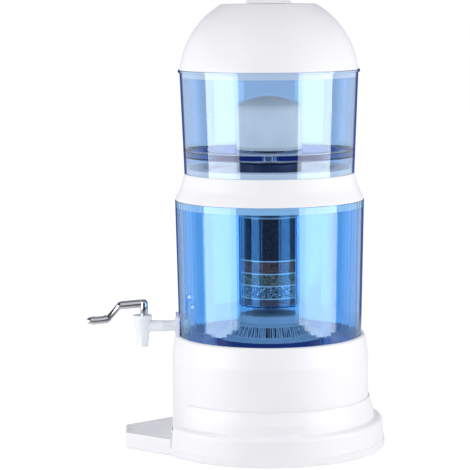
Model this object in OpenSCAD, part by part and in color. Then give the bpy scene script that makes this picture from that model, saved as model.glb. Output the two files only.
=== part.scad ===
// Countertop gravity water filter with a lever tap.
// Water poured into the upper tank seeps through a ceramic dome, drips through a cartridge of
// layered media into the lower tank and leaves by the tap, over the cup tray of the base.
// The vessel stands on z = 0 with its axis on Z, and the tap and the tray point towards -Y.

/* [Stack of heights] */
// How far the rubber feet stand proud of the base plate
foot_proud = 1.5; // [1:0.5:3]
// Height of the base plate under the pedestal
plate_h = 8.5; // [7.5:0.5:12]
// Height of the pedestal above the base plate
stand_h = 137; // [125:1:160]
// Depth to which the lower tank sits in the pedestal
seat_depth = 15.5; // [12:0.5:18]
// Height of the lower tank
lower_h = 191.5; // [186:0.5:218]
// Height of the mid ring, from the lower tank's rim to the upper tank's foot
mid_h = 34; // [30:1:42]
// Height of the upper tank
upper_h = 133.5; // [125:0.5:160]
// Height of the lid above the upper tank's rim
lid_h = 83.5; // [78:0.5:95]
// Height of the lid's knob
knob_h = 23; // [18:0.5:30]

/* [Base] */
// How far the base plate stands out from the pedestal's foot
plate_out = 20.7; // [18:0.1:26]
// How far the collar's flange stands in from the plate's edge
flange_in = 1.5; // [0.5:0.1:3]
// Height of the collar's flange
flange_h = 28; // [22:0.5:32]
// Height of the collar round the pedestal's foot
collar_h = 56; // [48:1:70]
// How far the collar stands out from the pedestal, above its flange
waist_out = 6.5; // [4.5:0.1:8.5]
// How far the pedestal stands out from the tank's foot, at the crease under its shoulder
stand_out = 9.7; // [8.4:0.1:11.4]
// How much wider the pedestal's wall is at its foot
stand_spread = 0.6; // [0:0.1:1]
// Depth of the pedestal's shoulder, from its lip down to the crease
shoulder_h = 27; // [20:1:35]
// Wall thickness of the base mouldings
base_wall = 2.6; // [2:0.1:3.2]

/* [Cup tray] */
// How far the tray reaches past the tap's valve axis
tray_past = 23.4; // [18:0.2:48]
// Width of the tray at its outer end
tray_end_w = 49; // [40:1:80]
// Width of the tray where it passes through the collar
tray_root_w = 140; // [120:1:150]
// Height of the tray's rim above the base plate
tray_rise = 11.5; // [9:0.5:16]
// Depth of the drip recess in the tray
tray_recess = 2.5; // [1:0.5:3.5]
// Width of the rim round the drip recess
tray_rim_w = 2.4; // [1.6:0.2:4]

/* [Tanks] */
// Outer radius of the lower tank at its foot
tank_r = 118.5; // [117:0.1:119.6]
// Draft angle of the lower tank's outside
lower_draft = 1.2; // [0.8:0.1:1.4]
// Wall thickness of both tanks, at its thinnest
tank_wall = 2.4; // [2:0.1:2.8]
// Shallow flutes round the inside of the lower tank
flutes = 42; // [30:2:60]
// How far the middle of a flute stands in from its edges
flute_depth = 0.12; // [0.05:0.01:0.3]
// Floor thickness of the lower tank
lower_floor = 4; // [3:0.5:6]
// Depth of the round socket in the lower tank's rim
socket_depth = 10; // [7:0.5:14]
// How far the upper tank's foot stands in from the lower tank's
upper_in = 8.5; // [7.6:0.1:9.6]
// Draft angle of the upper tank
upper_draft = 2.3; // [1.8:0.1:2.6]
// Height of the skirt below the upper tank's floor
skirt_h = 23.5; // [22.5:0.5:28]
// Floor thickness of the upper tank
upper_floor = 5.5; // [4:0.5:7]
// How far the upper tank's rim stands out from its wall
rim_out = 2; // [1.5:0.1:3]
// Height of the upper tank's rim
rim_h = 3.5; // [2.5:0.5:6]

/* [Lid and knob] */
// Radius of the curve from the lid's edge to its flat top
lid_curve_r = 110; // [106:1:120]
// Width of the lid's curved side, from its edge in to its flat top
lid_side_w = 54.2; // [51:0.2:60]
// Depth of the lid's skirt inside the upper tank
lid_skirt_h = 9.5; // [6:0.5:14]
// Wall thickness of the lid and the mid ring
cover_wall = 2.4; // [2:0.1:2.8]
// Radius of the knob's flared foot
knob_r = 29.2; // [27:0.2:34]
// Radius of the knob's waist
knob_waist_r = 25.2; // [22:0.2:26.4]
// Radius of the knob's top edge
knob_top_r = 27.4; // [26.6:0.2:30]

/* [Ceramic dome] */
// Outer radius of the ceramic dome
dome_r = 41.8; // [38:0.2:46]
// Height of the dome above its base plate
dome_h = 64; // [56:1:80]
// Wall thickness of the ceramic
dome_wall = 7; // [5:0.5:9]
// Radius of the dome's crown
dome_crown_r = 78; // [70:1:120]
// Thickness of the plastic base under the dome
dome_base_h = 4; // [3:0.5:6]
// Radius of the threaded stem
stem_r = 5.6; // [5:0.1:6.5]
// Thickness of the flat gaskets
gasket_h = 2; // [1.5:0.1:2.5]

/* [Mineral cartridge] */
// Outer radius of the cartridge's housing
cart_r = 37.8; // [35:0.2:40]
// Gap between the stone case and the housing above it
cart_gap = 10.1; // [9.6:0.1:16]
// Wall thickness of the housing
cart_wall = 2.4; // [1.8:0.1:2.8]
// Depth of the ring's sleeve round the housing, below the dish
sleeve_h = 47.5; // [30:0.5:60]
// Height of the cap that stands on the mid ring's dish
cap_h = 11.5; // [9:0.5:12]
// Heights of the media layers, from silica at the bottom to carbon at the top
layer_h = [9, 15, 14, 15, 54];
// Thickness of the mesh discs between the layers
mesh_h = 1.6; // [1:0.1:2.5]

/* [Stone case] */
// Radius of the stone case's dish and of the flange that covers it
case_foot_r = 70; // [64:0.5:80]
// Height of the dish
case_base_h = 8.5; // [6:0.5:10]
// Radius at the foot of the cover's slotted side
case_r = 56; // [52:0.5:60]
// Height of the stone case
case_h = 37.5; // [34:0.5:41]
// Radius at the top of the cover's slotted side
case_mid_r = 49.8; // [46:0.2:52]
// Radius of the cover's raised middle
case_top_r = 38.6; // [36:0.2:41]
// Height of the cover's slotted side
grille_h = 15; // [12:0.5:16]
// Slots round the cover's sloping side
slots = 88; // [64:4:92]
// Width of a slot
slot_w = 1.9; // [1.2:0.1:2]
// Radius of a mineral stone
stone_r = 5.4; // [4:0.1:5.6]

/* [Tap] */
// Height of the tap's shank above the pedestal's lip
tap_h = 10.5; // [10.5:0.5:16]
// Distance from the lower tank's foot to the tap's valve axis
tap_out = 48.1; // [44:0.1:61]
// Outer radius of the tap's ribbed shank
shank_r = 7.3; // [6.8:0.1:8]
// Radius of the thread that passes through the tank's wall
thread_r = 6; // [5.4:0.1:6.4]
// Radius of the water way through the shank
bore_r = 4; // [3:0.1:4.3]
// Width of the tap's flat boss on the tank
boss_w = 46; // [36:1:60]
// How far the boss stands out from the tank's foot radius
boss_out = 3.7; // [3:0.1:5]
// Radius of the bonnet on top of the tap
bonnet_r = 12.3; // [11.8:0.1:14]
// Height of the bonnet
bonnet_h = 6.5; // [6:0.5:9]
// Radius of the valve chamber
chamber_r = 7.2; // [7:0.1:7.4]
// Outer radius of the spout
spout_r = 7.4; // [7:0.1:8]
// Height from the spout's end to the shank's axis
spout_drop = 27; // [24:0.5:30]
// Radius of the valve plunger's rod
rod_r = 2.6; // [2.2:0.1:2.8]
// Radius of the lever's pin
pin_r = 1.2; // [0.9:0.1:1.3]
// Turns of the valve spring
spring_turns = 4; // [3:1:5]
// Wire radius of the valve spring
wire_r = 0.45; // [0.3:0.05:0.6]

/* [Lever] */
// Width of the lever
lever_w = 11; // [9:0.5:13]
// Thickness of the lever's arm
lever_t = 10; // [7:0.2:10.4]
// Length of the upper arm, from the head to the crank
arm_l = 31; // [24:1:45]
// Length of the lower arm, from the crank to the tip
grip_l = 23; // [18:0.5:40]
// Drop of the crank between the arms
crank_drop = 17.5; // [10:0.5:20]
// Slope of both arms below the level
lever_droop = 5; // [0:0.5:6]
// Bevel along the lever's edges
lever_bevel = 2; // [0.6:0.1:2.4]

/* [Hidden] */
$fn = 96;

// Clearances: loose between mouldings, snug between a piece and its socket, running in the valve
loose = 0.6;
snug = 0.3;
running = 0.06;
// Overlap that makes two shapes of one piece a single solid
bite = 0.5;

// Levels from the counter up
plate_z = foot_proud + plate_h;
tray_z = plate_z + tray_rise;
flange_z = plate_z + flange_h;
collar_z = plate_z + collar_h;
lip_z = plate_z + stand_h;
crease_z = lip_z - shoulder_h;
tank_z = lip_z - seat_depth;
floor_z = tank_z + lower_floor;
lower_rim_z = tank_z + lower_h;
upper_z = lower_rim_z + mid_h;
upper_floor_z = upper_z + skirt_h + upper_floor;
upper_rim_z = upper_z + upper_h;
lid_z = upper_rim_z + lid_h;
knob_z = lid_z + knob_h;

// Radii that follow the lower tank's foot
stand_r = tank_r + stand_out;
stand_foot_r = stand_r + stand_spread;
plate_r = stand_foot_r + plate_out;
flange_r = plate_r - flange_in;
upper_r = tank_r - upper_in;
tap_reach = tank_r + tap_out;
tray_reach = tap_reach + tray_past;

// Radii of the tanks' walls at a level
function lower_out(z) = tank_r + (z - tank_z) * tan(lower_draft);
function upper_out(z) = upper_r + (z - upper_z) * tan(upper_draft);
lower_rim_r = lower_out(lower_rim_z);
upper_rim_r = upper_out(upper_rim_z) + rim_out;

// Base
lip_r = lower_out(lip_z) + loose;
deck_h = 3.5;
collar_r = stand_foot_r + snug;
waist_r = collar_r + waist_out;
screw_r = 1.8;
screw_head_r = 4;
screw_head_h = 3;
screw_l = 18;
boss_r = 4.6;
stand_screw_r = stand_r - base_wall - boss_r + 1;
collar_screw_r = (collar_r + flange_r) / 2;
foot_r = 9;
foot_sink = 2;
foot_ring_r = stand_foot_r;
pad_wall = 2;

// Tap
tap_z = lip_z + tap_h;
boss_y = tank_r + boss_out;
boss_top_z = tap_z + 13.5;
boss_low_z = lip_z + 1;
pad_y = boss_y - 8;
washer_r = 10.5;
washer_y = boss_y + gasket_h;
nut_r = 11;
nut_h = 7;
nut_y = pad_y - gasket_h;
thread_end_y = nut_y - nut_h - 2;
// The ribs take this share of the shank between the washer and the valve
rib_share = 0.344;
rib_end_y = washer_y + rib_share * (tap_reach - washer_y);
body_top_z = tap_z + 8;
bonnet_z = body_top_z + bonnet_h;
neck_r = chamber_r + 2.2;
neck_h = 3;
seat_z = tap_z - 7.5;
seat_hole_r = 3.6;
spout_bore_r = 5;
spout_z = tap_z - spout_drop;
plug_r = 6.2;
plug_h = 3;
spring_seat_z = seat_z + plug_h + 2;
seal_h = 2.3;
seal_z = body_top_z + neck_h - seal_h;
pin_z = bonnet_z + 4;
rod_top_z = pin_z + 2.8;

// Filter pieces between the tanks
dish_z = upper_z + 1.6;
neck_out_r = upper_r - tank_wall - 1.6;
deck_ledge = 21.5;
deck_r = neck_out_r - deck_ledge;
sleeve_r = cart_r + loose;
cap_r = cart_r + 3.7;
dome_z = upper_floor_z + gasket_h;
stem_z = dome_z - gasket_h - upper_floor - 9;
stem_hole_r = stem_r + 0.4;
case_z = floor_z;
case_crown = 1;
cart_z = case_z + case_h + case_crown + cart_gap;
cart_floor = 2.4;
cart_in_r = cart_r - cart_wall;
case_rim_h = 2;
case_flange_rise = 1.5;
case_wall = 2;

// ---------------------------------------------------------------- outlines

function dir(a, b) = (b - a) / norm(b - a);
function xy(p) = [p[0], p[1]];
function spin2(p, t) = [p[0] * cos(t) - p[1] * sin(t), p[0] * sin(t) + p[1] * cos(t)];

// Points of the arc of radius r that rounds the corner b between a and c
function corner(a, b, c, r, n) =
    r == 0 ? [b] :
    let (u = dir(b, a), v = dir(b, c), half = acos(u * v) / 2)
    let (centre = b + (u + v) / norm(u + v) * r / sin(half))
    let (p = b + u * r / tan(half) - centre, q = b + v * r / tan(half) - centre)
    let (turn = p[0] * q[1] - p[1] * q[0] > 0 ? 180 - 2 * half : 2 * half - 180)
    [for (i = [0:n]) centre + spin2(p, turn * i / n)];

// Closed outline through points [x, y, r], each corner rounded to its own r
function rounded(pts, n = 5) =
    let (m = len(pts))
    [for (i = [0:m - 1])
        let (a = pts[(i + m - 1) % m], b = pts[i], c = pts[(i + 1) % m])
        each corner(xy(a), xy(b), xy(c), len(b) > 2 ? b[2] : 0, n)];

// Points of an arc about a centre
function arc(centre, r, a0, a1, n) =
    [for (i = [0:n]) centre + r * [cos(a0 + (a1 - a0) * i / n), sin(a0 + (a1 - a0) * i / n)]];

// Centre of the circle of radius r through p and q, on the side of the axis
function arc_centre(p, q, r) =
    let (mid = (p + q) / 2, d = norm(q - p) / 2, along = dir(p, q))
    mid + sqrt(r * r - d * d) * [-along[1], along[0]];

// Turned piece whose half section has rounded corners
module turned(pts, n = 5) {
    rotate_extrude() polygon(rounded(pts, n));
}

// Cylinder along Y whose ends are at y0 and y1
module along_y(r, y0, y1, z) {
    translate([0, min(y0, y1), z]) rotate([-90, 0, 0]) cylinder(r = r, h = abs(y1 - y0));
}

// Copies its children round the axis
module around(n, r = 0, start = 0) {
    for (i = [0:n - 1]) rotate([0, 0, start + 360 * i / n]) translate([r, 0, 0]) children();
}

// ---------------------------------------------------------------- base

// Outline of the cup tray, drawn in by inset, that ends inside the pedestal's wall
function tray_outline(inset) =
    let (half = tray_root_w / 2, out = tray_end_w / 2, root_y = sqrt(plate_r * plate_r - half * half))
    let (flank = dir([out, -tray_reach], [half, -root_y]), slide = inset * (1 - flank[0]) / flank[1])
    rounded([[out - slide, -tray_reach + inset, 6 - inset / 2],
        [half - inset, -root_y + inset * (1 - flank[1]) / flank[0], 3],
        [half - inset, -stand_r / 2], [inset - half, -stand_r / 2],
        [inset - half, -root_y + inset * (1 - flank[1]) / flank[0], 3],
        [slide - out, -tray_reach + inset, 6 - inset / 2]], 6);

foot_spots = [[0, 0], [0, 2 * (foot_r + pad_wall) - tray_reach],
    for (a = [60, 120, 205, 335]) foot_ring_r * [cos(a), sin(a)]];
screw_spots = concat([for (a = [45:90:315]) stand_screw_r * [cos(a), sin(a)]],
    [for (a = [0:90:180]) collar_screw_r * [cos(a), sin(a)]]);

module feet() {
    color("dimgray") for (p = foot_spots)
        translate(p) cylinder(r = foot_r, h = foot_proud + foot_sink);
}

module base_plate() {
    top_h = 2.5;
    color("whitesmoke") difference() {
        union() {
            difference() {
                union() {
                    translate([0, 0, foot_proud]) cylinder(r = plate_r, h = plate_h);
                    tray_block();
                }
                translate([0, 0, foot_proud - 1])
                    cylinder(r = plate_r - base_wall, h = plate_h + 1 - top_h);
                translate([0, 0, foot_proud - 1])
                    linear_extrude(tray_z - foot_proud + 1 - tray_recess - top_h) difference() {
                        polygon(tray_outline(base_wall));
                        circle(r = stand_foot_r + base_wall + loose);
                    }
            }
            for (i = [0:5]) rotate([0, 0, 60 * i]) translate([0, -1, foot_proud + 1])
                cube([plate_r - base_wall / 2, 2, plate_h - 1.5]);
            for (p = foot_spots) translate([p[0], p[1], foot_proud]) cylinder(r = foot_r + pad_wall,
                h = (norm(p) > plate_r ? tray_z - tray_recess : plate_z) - foot_proud - 1);
            for (p = screw_spots) translate([p[0], p[1], foot_proud])
                cylinder(r = screw_head_r + pad_wall, h = plate_h - 1);
        }
        for (p = foot_spots) translate([p[0], p[1], foot_proud - 1])
            cylinder(r = foot_r, h = foot_sink + 1);
        for (p = screw_spots) translate([p[0], p[1], foot_proud - 1]) {
            cylinder(r = screw_head_r + snug, h = screw_head_h + 1 + 1);
            cylinder(r = screw_r + snug, h = plate_h + 2);
        }
    }
}

// Raised part of the plate, outside the pedestal's wall, with the drip recess
module tray_block() {
    difference() {
        translate([0, 0, foot_proud]) linear_extrude(tray_z - foot_proud) polygon(tray_outline(0));
        translate([0, 0, plate_z]) cylinder(r = stand_foot_r + loose, h = tray_rise + 1);
        translate([0, 0, tray_z - tray_recess]) linear_extrude(tray_recess + 1) difference() {
            polygon(tray_outline(tray_rim_w));
            circle(r = stand_foot_r + loose + tray_rim_w);
        }
    }
}

module base_collar() {
    hollow_top = flange_z - base_wall - 1;
    // Half the angle that the tray's opening takes from the collar
    gap = asin((tray_root_w / 2 + loose) / flange_r) + 3;
    color("white") difference() {
        turned([[collar_r, plate_z], [flange_r, plate_z], [flange_r - 1.8, flange_z, 6.5],
            [waist_r, flange_z, 0.8], [waist_r - 1.4, flange_z + 12, 5],
            [collar_r + 1.5, collar_z - 4, 8], [collar_r + 0.8, collar_z, 0.4], [collar_r, collar_z]]);
        difference() {
            rotate([0, 0, gap - 90]) rotate_extrude(angle = 360 - 2 * gap)
                translate([collar_r + base_wall, plate_z - 1])
                    square([flange_r - collar_r - 2 * base_wall - 1, hollow_top - plate_z + 1]);
            for (a = [0:90:180]) rotate([0, 0, a]) translate([collar_screw_r, 0, plate_z - 2])
                cylinder(r = boss_r, h = flange_h);
        }
        for (a = [0:90:180]) rotate([0, 0, a]) translate([collar_screw_r, 0, plate_z - 1])
            cylinder(r = screw_r + 0.05, h = screw_l);
        translate([-tray_root_w / 2 - loose, -plate_r - 1, plate_z - 1])
            cube([tray_root_w + 2 * loose, plate_r, collar_h + 2]);
    }
}

module stand() {
    in_r = stand_r - base_wall;
    // Width of the flat lip, between the rounded shoulder and the tank
    lip_w = stand_r - 4.3 - lip_r;
    hub_r = 25;
    ribs = 8;
    rib_h = 11.5;
    color("white") difference() {
        union() {
            turned([[stand_foot_r, plate_z], [stand_r, crease_z, 6], [lip_r + lip_w, lip_z, lip_w - 0.5],
                [lip_r, lip_z, 0.4], [lip_r, tank_z], [0, tank_z], [0, tank_z - deck_h],
                [in_r, tank_z - deck_h, 3], [stand_foot_r - base_wall, plate_z]]);
            around(ribs, 0, 180 / ribs) translate([hub_r - 1, -1, tank_z - deck_h - rib_h])
                cube([in_r - hub_r + 1 + bite, 2, rib_h + bite]);
            translate([0, 0, tank_z - deck_h - rib_h]) difference() {
                cylinder(r = hub_r, h = rib_h + bite);
                translate([0, 0, -1]) cylinder(r = hub_r - base_wall, h = rib_h + 2);
            }
            around(4, stand_screw_r, 45) translate([0, 0, plate_z]) cylinder(r = boss_r, h = screw_l + 4);
        }
        around(4, stand_screw_r, 45) translate([0, 0, plate_z - 1]) cylinder(r = screw_r + 0.05, h = screw_l);
    }
}

module base_screws() {
    color("silver") for (p = screw_spots) translate([p[0], p[1], foot_proud + 1]) {
        cylinder(r = screw_head_r, h = screw_head_h);
        cylinder(r = screw_r, h = plate_h + screw_l - 6);
    }
}

// ---------------------------------------------------------------- lower tank

// Inside of the tank between two levels: a cone with flutes, drawn in from the outside by the wall
module fluted(z0, z1, inset) {
    r0 = lower_out(z0) - inset;
    r1 = lower_out(z1) - inset;
    steps = 2;
    translate([0, 0, z0]) linear_extrude(z1 - z0, scale = r1 / r0)
        polygon([for (i = [0:flutes - 1], k = [-steps:steps - 1])
            let (t = k / steps, a = 360 * (i + t / 2) / flutes)
            (r0 - flute_depth * (1 - t * t)) * [cos(a), sin(a)]]);
}

module lower_tank() {
    socket_z = lower_rim_z - socket_depth;
    foot_in = 10;
    color([0.42, 0.68, 0.93, 0.5]) difference() {
        union() {
            turned([[0, tank_z + 1], [tank_r - foot_in, tank_z + 1], [tank_r - foot_in - 1, tank_z],
                [tank_r, tank_z, 1.5], [lower_rim_r, lower_rim_z, 0.6], [0, lower_rim_z]]);
            translate([-boss_w / 2, -boss_y, boss_low_z])
                cube([boss_w, boss_y - tank_r + 14, boss_top_z - boss_low_z]);
        }
        difference() {
            fluted(floor_z, socket_z + 1, tank_wall);
            translate([-tank_r / 4, -tank_r, floor_z - 1])
                cube([tank_r / 2, tank_r - pad_y, boss_top_z - floor_z]);
        }
        translate([0, 0, socket_z]) cylinder(r1 = lower_out(socket_z) - tank_wall,
            r2 = lower_out(lower_rim_z + 1) - tank_wall, h = socket_depth + 1);
        along_y(thread_r + snug, -boss_y - 1, -pad_y + 1, tap_z);
    }
}

// ---------------------------------------------------------------- stone case

module stone_case_base() {
    rim_z = case_z + case_base_h;
    in_r = case_foot_r - case_wall;
    color([0.35, 0.48, 0.68]) turned([[0, case_z], [case_foot_r, case_z, 0.8], [case_foot_r, rim_z, 0.3],
        [in_r, rim_z, 0.3], [in_r, case_z + case_wall, 1], [0, case_z + case_wall]]);
}

module stone_case_cover() {
    w = case_wall;
    z0 = case_z + case_base_h;
    z1 = z0 + case_rim_h + case_flange_rise;
    z2 = z1 + grille_h;
    step_z = z2 + 1.5;
    top = case_z + case_h;
    spigot_r = case_foot_r - w - snug;
    spigot_h = 3;
    // Plain bands above and below the slots
    band = 1.2;
    color([0.4, 0.55, 0.76]) difference() {
        turned([[case_foot_r, z0], [case_foot_r, z0 + case_rim_h, 0.8], [case_r, z1, 0.6],
            [case_mid_r, z2, 1.6], [case_top_r, step_z, 1], [case_top_r - 1.2, top, 3], [0, top + case_crown],
            [0, top + case_crown - w], [case_top_r - 1.2 - w, top - w, 2], [case_top_r - w, step_z - w],
            [case_mid_r - w, z2 - w], [case_r - w, z1 - w], [spigot_r - 1.6, z0 + 0.4],
            [spigot_r - 1.6, z0 - spigot_h], [spigot_r, z0 - spigot_h], [spigot_r, z0]]);
        around(slots) translate([case_mid_r - w - 3, -slot_w / 2, z1 + band])
            cube([case_r - case_mid_r + w + 4, slot_w, grille_h - 2 * band]);
    }
}

module mineral_stones() {
    rings = 4;
    pitch = (case_r - case_wall - 2 * snug - stone_r) / rings;
    color("rosybrown") for (ring = [0:rings], i = [0:max(0, 6 * ring - 1)])
        rotate([0, 0, 360 * i / max(1, 6 * ring)])
            translate([ring * pitch, 0, case_z + case_wall + stone_r]) sphere(r = stone_r, $fn = 24);
}

// ---------------------------------------------------------------- tap

module tap_body() {
    ribs = 6;
    rib_pitch = (rib_end_y - washer_y - 1.4) / ribs;
    color("ghostwhite") difference() {
        union() {
            translate([0, -tap_reach, 0]) turned([[0, spout_z], [spout_r, spout_z, 0.6],
                [spout_r, seat_z - 11], [spout_r + 0.8, seat_z - 11, 0.4], [spout_r + 0.8, seat_z - 8.6, 0.4],
                [spout_r + 1.1, seat_z - 5, 3], [bonnet_r - 0.8, body_top_z, 0.5], [neck_r, body_top_z],
                [neck_r, body_top_z + neck_h], [0, body_top_z + neck_h]]);
            along_y(shank_r, -tap_reach, -washer_y, tap_z);
            along_y(shank_r + 0.5, -rib_end_y - 1, -rib_end_y + 0.4, tap_z);
            along_y(thread_r, -washer_y - 1, -thread_end_y, tap_z);
        }
        for (i = [0:ribs - 1]) rib_groove(washer_y + 1.4 + rib_pitch * (i + 0.3), rib_pitch * 0.5);
        translate([0, -tap_reach, 0]) {
            translate([0, 0, seat_z]) cylinder(r = chamber_r, h = body_top_z + neck_h - seat_z + 1);
            translate([0, 0, spout_z - 1]) cylinder(r = spout_bore_r, h = seat_z - 3 - spout_z + 1);
            translate([0, 0, spout_z]) cylinder(r = seat_hole_r, h = seat_z - spout_z + 1);
        }
        along_y(bore_r, -tap_reach, -thread_end_y + 1, tap_z);
    }
}

// Groove between two ribs of the shank
module rib_groove(y, w) {
    difference() {
        along_y(shank_r + 1, -y - w, -y, tap_z);
        along_y(shank_r - 0.5, -y - w - 1, -y + 1, tap_z);
    }
}

module tap_bonnet() {
    color("ghostwhite") translate([0, -tap_reach, 0]) turned([[bonnet_r - 0.3, body_top_z, 0.4],
        [bonnet_r, bonnet_z, 1.2], [rod_r + running, bonnet_z], [rod_r + running, body_top_z + neck_h + 0.1],
        [neck_r + 0.1, body_top_z + neck_h + 0.1], [neck_r + 0.1, body_top_z]]);
}

module tap_washer() {
    ring_on_shank("white", washer_r, thread_r + 0.1, -washer_y, -boss_y);
}

module tap_gasket() {
    ring_on_shank("dimgray", washer_r, thread_r + 0.1, -pad_y, -nut_y);
}

module ring_on_shank(tint, out_r, in_r, y0, y1) {
    color(tint) difference() {
        along_y(out_r, y0, y1, tap_z);
        along_y(in_r, y0 - 1, y1 + 1, tap_z);
    }
}

module tap_nut() {
    color("white") difference() {
        translate([0, -nut_y, tap_z]) rotate([-90, 0, 0]) cylinder(r = nut_r, h = nut_h, $fn = 6);
        along_y(thread_r + 0.05, -nut_y - 1, -nut_y + nut_h + 1, tap_z);
    }
}

module stem_seal() {
    color("lightgray") translate([0, -tap_reach, 0]) turned([[rod_r + running, seal_z],
        [chamber_r - 0.1, seal_z], [chamber_r - 0.1, seal_z + seal_h], [rod_r + running, seal_z + seal_h]]);
}

module valve_plunger() {
    color("gainsboro") difference() {
        translate([0, -tap_reach, 0]) union() {
            translate([0, 0, seat_z + 1]) cylinder(r = rod_r, h = rod_top_z - seat_z - 1);
            translate([0, 0, seat_z + plug_h])
                cylinder(r = chamber_r - 0.4, h = spring_seat_z - seat_z - plug_h);
        }
        across(pin_r + running, rod_r + 1);
    }
}

// Cylinder along X through the lever's pin axis
module across(r, half) {
    translate([-half, -tap_reach, pin_z]) rotate([0, 90, 0]) cylinder(r = r, h = 2 * half);
}

module valve_seat_plug() {
    in_r = rod_r + 0.02;
    color("slategray") translate([0, -tap_reach, 0]) turned([[0, seat_z], [plug_r, seat_z, 0.5],
        [plug_r, seat_z + plug_h, 0.5], [in_r, seat_z + plug_h], [in_r, seat_z + 1], [0, seat_z + 1]]);
}

// Points of a ring of wire, drawn at angle a along the coil
function coil_ring(a, r, z0, pitch, sides) =
    [for (k = [0:sides - 1]) let (t = 360 * k / sides, q = r + wire_r * cos(t))
        [q * cos(a), q * sin(a), z0 + wire_r * sin(t) + pitch * a / 360]];

module valve_spring() {
    steps = 14 * spring_turns;
    sides = 6;
    free_h = seal_z - spring_seat_z - 2 * wire_r;
    coil_r = chamber_r - 1.6;
    pts = [for (i = [0:steps]) each coil_ring(360 * spring_turns * i / steps, coil_r,
        spring_seat_z + wire_r, free_h / spring_turns, sides)];
    sides_of_tube = [for (i = [0:steps - 1], k = [0:sides - 1])
        let (k2 = (k + 1) % sides, a = i * sides, b = (i + 1) * sides)
        each [[a + k, b + k, b + k2], [a + k, b + k2, a + k2]]];
    ends = [[for (k = [0:sides - 1]) k], [for (k = [sides - 1:-1:0]) steps * sides + k]];
    color("silver") translate([0, -tap_reach, 0]) polyhedron(pts, concat(sides_of_tube, ends), convexity = 8);
}

// ---------------------------------------------------------------- lever

head_w = 10.5;
head_out = 3.3;
// Places of the lever's knuckles in the plane of the tap, as [distance from the axis, level]
droop = [cos(lever_droop), -sin(lever_droop)];
knuckle_head = [tap_reach + head_out - head_w / 2, bonnet_z + 15.2];
knuckle_root = knuckle_head + [0.5, 0.4];
knuckle_upper = knuckle_root + arm_l * droop;
knuckle_lower = knuckle_upper + [crank_drop * 0.88, -crank_drop];
knuckle_tip = knuckle_lower + grip_l * droop;

// Disc across the lever with bevelled rims, centred on a knuckle
module knuckle(p, r, w) {
    translate([0, -p[0], p[1]]) rotate([0, 90, 0]) rotate_extrude($fn = 32)
        polygon([[0, -w / 2], [r - lever_bevel, -w / 2], [r, lever_bevel - w / 2],
            [r, w / 2 - lever_bevel], [r - lever_bevel, w / 2], [0, w / 2]]);
}

module tap_lever() {
    r = lever_t / 2;
    head_r = head_w / 2;
    head_y = -tap_reach - head_out;
    // How far the nose slopes down at the grip's end
    nose_drop = 1.4;
    // How much thinner the crank is than the arms, on each side
    crank_in = 1.3;
    color("silver") difference() {
        union() {
            hull() {
                knuckle(knuckle_head, head_r, lever_w + 0.6);
                translate([-lever_w / 2 - 0.3, head_y, bonnet_z]) cube([lever_w + 0.6, head_w, 8]);
            }
            hull() { knuckle(knuckle_root, r, lever_w); knuckle(knuckle_upper, r, lever_w); }
            hull() {
                knuckle(knuckle_upper, r - crank_in, lever_w - crank_in / 2);
                knuckle(knuckle_lower, r - crank_in, lever_w - crank_in / 2);
            }
            hull() {
                knuckle(knuckle_lower, r, lever_w);
                knuckle(knuckle_tip - 2 * droop, r, lever_w);
                knuckle(knuckle_tip + nose_drop * [1, -1], r - nose_drop, lever_w - nose_drop);
            }
        }
        translate([-rod_r - snug, -tap_reach - rod_r - 1.6, bonnet_z - 1])
            cube([2 * (rod_r + snug), 2 * rod_r + 3.6, rod_top_z - bonnet_z + 2.6]);
        across(pin_r + 0.02, lever_w);
    }
}

module lever_pin() {
    color("gray") across(pin_r, lever_w / 2 - 0.4);
}

// ---------------------------------------------------------------- mid ring and cartridge

module mid_ring() {
    w = cover_wall;
    foot_r = lower_rim_r + 0.2;
    knee = [upper_r + 4.8, lower_rim_z + mid_h * 0.48];
    head_r = upper_r + 0.7;
    spigot_r = lower_out(lower_rim_z - socket_depth) - tank_wall - snug;
    sleeve_z = dish_z - sleeve_h;
    color("white") turned([[foot_r, lower_rim_z, 1], [knee[0], knee[1], 30], [head_r, upper_z - 1.2, 0.8],
        [head_r - 0.4, upper_z, 0.4], [neck_out_r, upper_z], [neck_out_r, dish_z + 5.6, 1],
        [deck_r, dish_z + 5.6, 1], [deck_r, dish_z], [sleeve_r, dish_z], [sleeve_r, sleeve_z],
        [sleeve_r + w + 1.4, sleeve_z, 0.8], [sleeve_r + w + 1.4, sleeve_z + 4, 0.8],
        [sleeve_r + w, sleeve_z + 5], [sleeve_r + w, dish_z - w, 2], [deck_r + w, dish_z - w],
        [deck_r + w, dish_z + 5.6 - w], [neck_out_r - w, dish_z + 5.6 - w], [neck_out_r - w, upper_z - w],
        [head_r - w - 0.2, upper_z - w], [knee[0] - w, knee[1] - 0.8, 24], [spigot_r - w + 0.6, knee[1] - 9],
        [spigot_r - w + 0.4, lower_rim_z - socket_depth + 1], [spigot_r, lower_rim_z - socket_depth + 1],
        [spigot_r, lower_rim_z]], 6);
}

module cartridge_cap() {
    neck = cart_in_r - 0.2;
    dish = dish_z + 5;
    color([0.16, 0.25, 0.46]) difference() {
        turned([[cap_r, dish_z], [cap_r, dish_z + cap_h, 2], [cap_r - 3, dish_z + cap_h, 1],
            [cap_r - 3, dish], [0, dish], [0, dish - 3], [neck - 2.4, dish - 3], [neck - 2.4, dish_z - 14],
            [neck, dish_z - 14], [neck, dish_z]]);
        around(12, cap_r * 0.6) translate([0, 0, dish - 4]) cylinder(r = 2.2, h = 6);
        around(12, cap_r * 0.33) translate([0, 0, dish - 4]) cylinder(r = 1.6, h = 6);
    }
}

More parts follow.
